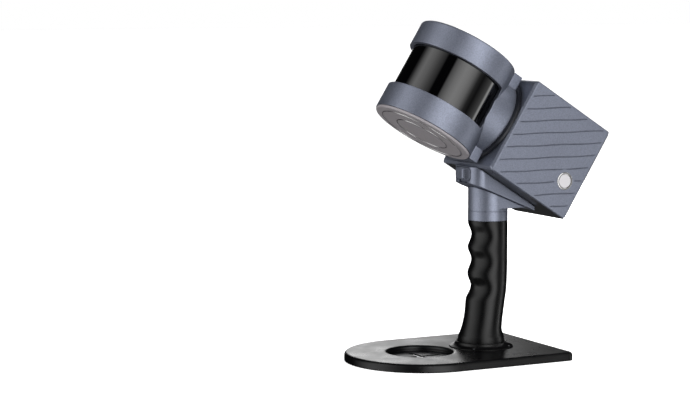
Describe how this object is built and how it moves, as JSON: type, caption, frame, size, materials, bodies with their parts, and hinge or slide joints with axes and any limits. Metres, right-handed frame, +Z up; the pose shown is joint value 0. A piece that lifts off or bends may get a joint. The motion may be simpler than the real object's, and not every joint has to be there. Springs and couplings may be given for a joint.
{
  "type": "terrestrial laser scanner",
  "caption": "Hand-held laser scanner with a tilted body, a spinning cylindrical sensor head, a finger-grooved battery grip and a ground-mark base plate.",
  "frame": {"origin": "underside of the base plate, on the vertical axis of the handle neck", "axes": "+Z up along the handle, +Y across the body, -X towards the sensor head, +X to the rear"},
  "size_m": [0.2719, 0.1544, 0.343],
  "materials": {
    "shell_paint": "satin blue-grey metallic powder coat on cast aluminium",
    "black_rubber": "matt soft-touch",
    "base_black": "fine black powder coat on aluminium",
    "window_black": "gloss black infrared window",
    "cover_grey": "matt warm grey moulded",
    "cover_dark": "satin dark grey coat on aluminium",
    "chrome_trim": "polished",
    "button_silver": "satin anodised",
    "screw_steel": "zinc plated",
    "spring_steel": "spring wire",
    "raw_aluminium": "machined",
    "bearing_steel": "ground",
    "magnet": "nickel plated magnet ring",
    "winding_copper": "enamelled copper on laminated steel",
    "board_green": "fibreglass circuit board",
    "chip_black": "moulded package",
    "black_plastic": "fine texture",
    "cell_wrap": "shrink sleeve over a steel can",
    "contact_brass": "plated",
    "lens_glass": "coated lens",
    "door_rubber": "matt"
  },
  "bodies": {
    "chassis": {"base_plate": "base_black", "handle_collar": "base_black", "collar_screws": "screw_steel", "base_stud": "screw_steel", "grip_sleeve": "black_rubber", "grip_core": "raw_aluminium", "grip_foot": "raw_aluminium", "battery_spring": "spring_steel", "battery_cells": "cell_wrap", "battery_contact": "contact_brass", "neck": "shell_paint", "mount_wedge": "shell_paint", "wedge_screws": "screw_steel", "contact_block": "black_plastic", "release_spring": "spring_steel", "body_shell": "shell_paint", "bottom_cover": "cover_dark", "bottom_screws": "screw_steel", "rear_cover": "cover_dark", "rear_screws": "screw_steel", "port_door_pin": "screw_steel", "port_panel": "black_plastic", "usb_socket": "chrome_trim", "power_socket": "contact_brass", "power_button_bezel": "chrome_trim", "power_button_nut": "screw_steel", "power_switch": "black_plastic", "power_button_spring": "spring_steel", "main_board": "board_green", "board_standoffs": "contact_brass", "processor": "chip_black", "heat_sink": "raw_aluminium", "storage_module": "chip_black", "imu_module": "raw_aluminium", "drive_housing": "raw_aluminium", "drive_housing_screws": "screw_steel", "drive_bearings": "bearing_steel", "drive_stator": "winding_copper", "slip_ring_body": "black_plastic"},
    "head": {"turntable": "cover_dark", "turntable_screws": "screw_steel", "drive_rotor": "magnet", "encoder_disc": "lens_glass", "slip_ring_rotor": "contact_brass", "head_yoke": "shell_paint", "sensor_case": "shell_paint", "sensor_window": "window_black", "sensor_base": "raw_aluminium", "head_bottom_cover": "cover_grey", "sensor_bearings": "bearing_steel", "sensor_stator": "winding_copper"},
    "optics_rotor": {"rotor_platform": "raw_aluminium", "rotor_magnets": "magnet", "optics_frame": "raw_aluminium", "rotor_lenses": "lens_glass", "rotor_boards": "board_green", "rotor_counterweight": "bearing_steel"},
    "power_key": {"power_button": "button_silver"},
    "release_key": {"release_button": "shell_paint"},
    "port_cover": {"port_door": "door_rubber"}
  },
  "joints": [
    {"name": "head_spin", "type": "hinge", "parent": "chassis", "child": "head", "pos_m": [0.0006, 0, 0.2399], "axis": [-0.8457, 0, 0.5336], "continuous": true},
    {"name": "optics_spin", "type": "hinge", "parent": "head", "child": "optics_rotor", "pos_m": [-0.05116, 0, 0.27256], "axis": [0.5336, 0, 0.8457], "continuous": true},
    {"name": "power_button_press", "type": "slide", "parent": "chassis", "child": "power_key", "axis": [0, 1, 0], "range_m": [0, 0.001], "stiffness_N_per_m": 800, "deforming": ["power_button_spring"]},
    {"name": "release_press", "type": "slide", "parent": "chassis", "child": "release_key", "axis": [1, 0, 0], "range_m": [0, 0.0025], "stiffness_N_per_m": 1500, "deforming": ["release_spring"]},
    {"name": "port_door_open", "type": "hinge", "parent": "chassis", "child": "port_cover", "pos_m": [0.07619, 0, 0.16537], "axis": [0, 1, 0], "range_deg": [0, 105]}
  ]
}
